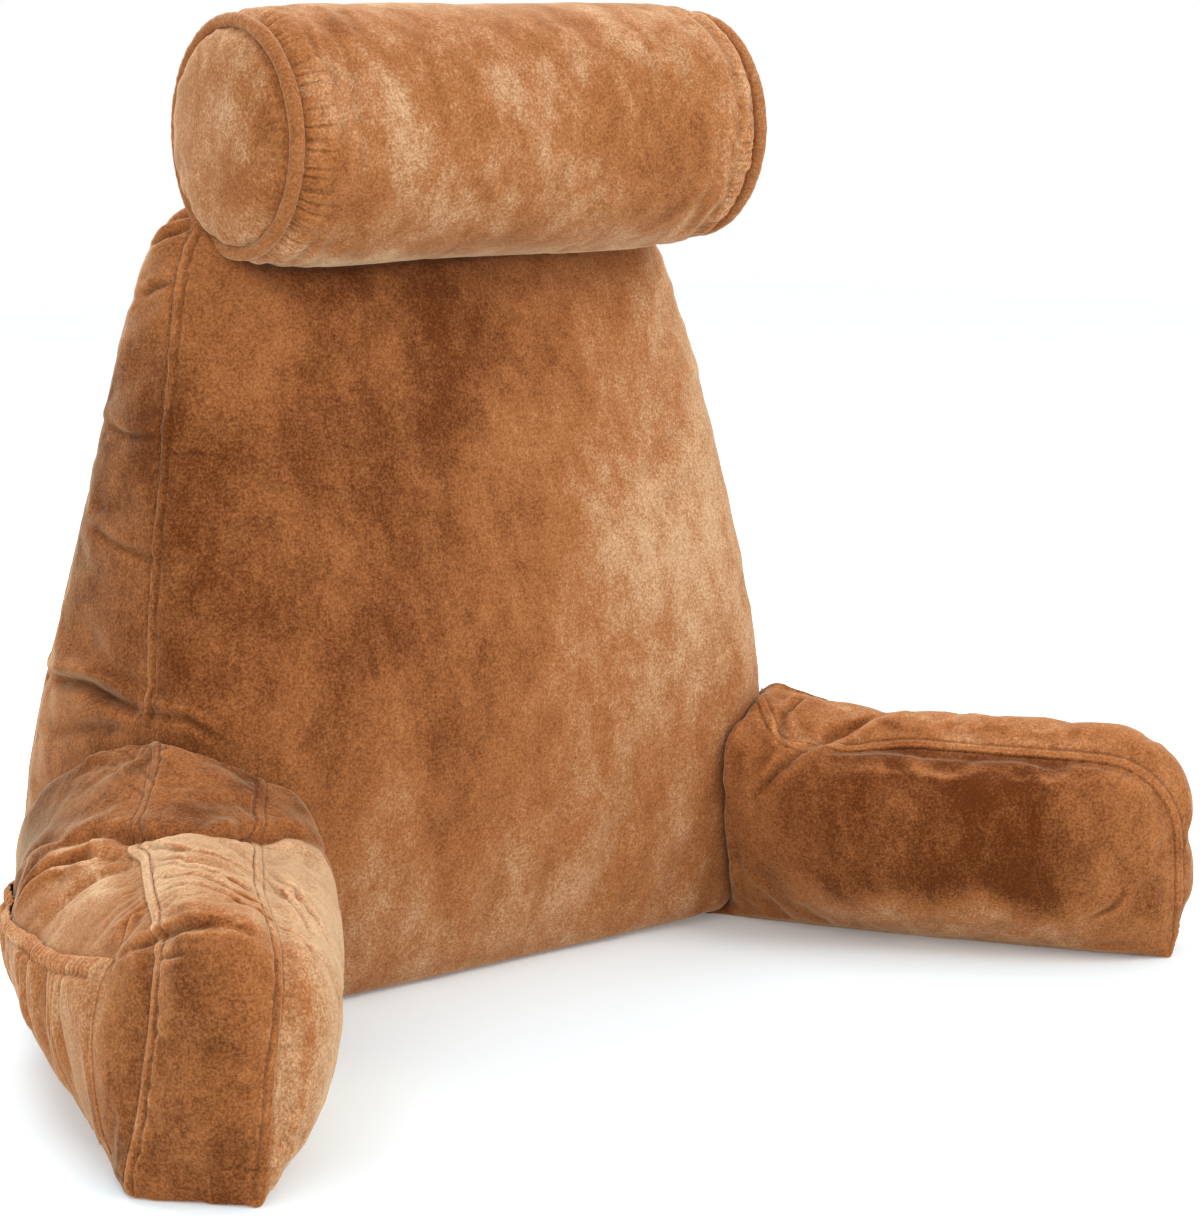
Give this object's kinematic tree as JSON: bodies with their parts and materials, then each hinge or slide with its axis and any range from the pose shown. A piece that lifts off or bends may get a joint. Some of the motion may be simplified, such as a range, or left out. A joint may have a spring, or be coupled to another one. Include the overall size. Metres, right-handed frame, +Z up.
{
  "type": "reading pillow with arms",
  "caption": "Filled wedge backrest with two splayed, rounded arms, gathered pockets on their outer sides, and a piped round neck roll seated on the top edge.",
  "frame": {"origin": "middle of the backrest's flat base, on the surface it stands on", "axes": "+X across the pillow towards the sitter's left-hand arm as the sitter leans back (the picture's right), -Y the way the backrest faces and the arms reach, +Z up"},
  "size_m": [0.9085, 0.5308, 0.6804],
  "materials": {
    "velvet_brown": "soft short-pile velvet, caramel brown",
    "velvet_deep": "soft short-pile velvet, caramel brown brushed darker",
    "velvet_light": "soft short-pile velvet, caramel brown brushed lighter"
  },
  "bodies": {
    "root": {"backrest": "velvet_brown", "arm_left": "velvet_deep", "arm_right": "velvet_deep", "pocket_left": "velvet_brown", "pocket_right": "velvet_brown", "neck_roll": "velvet_light", "piping_left": "velvet_deep", "piping_right": "velvet_deep"}
  },
  "joints": []
}
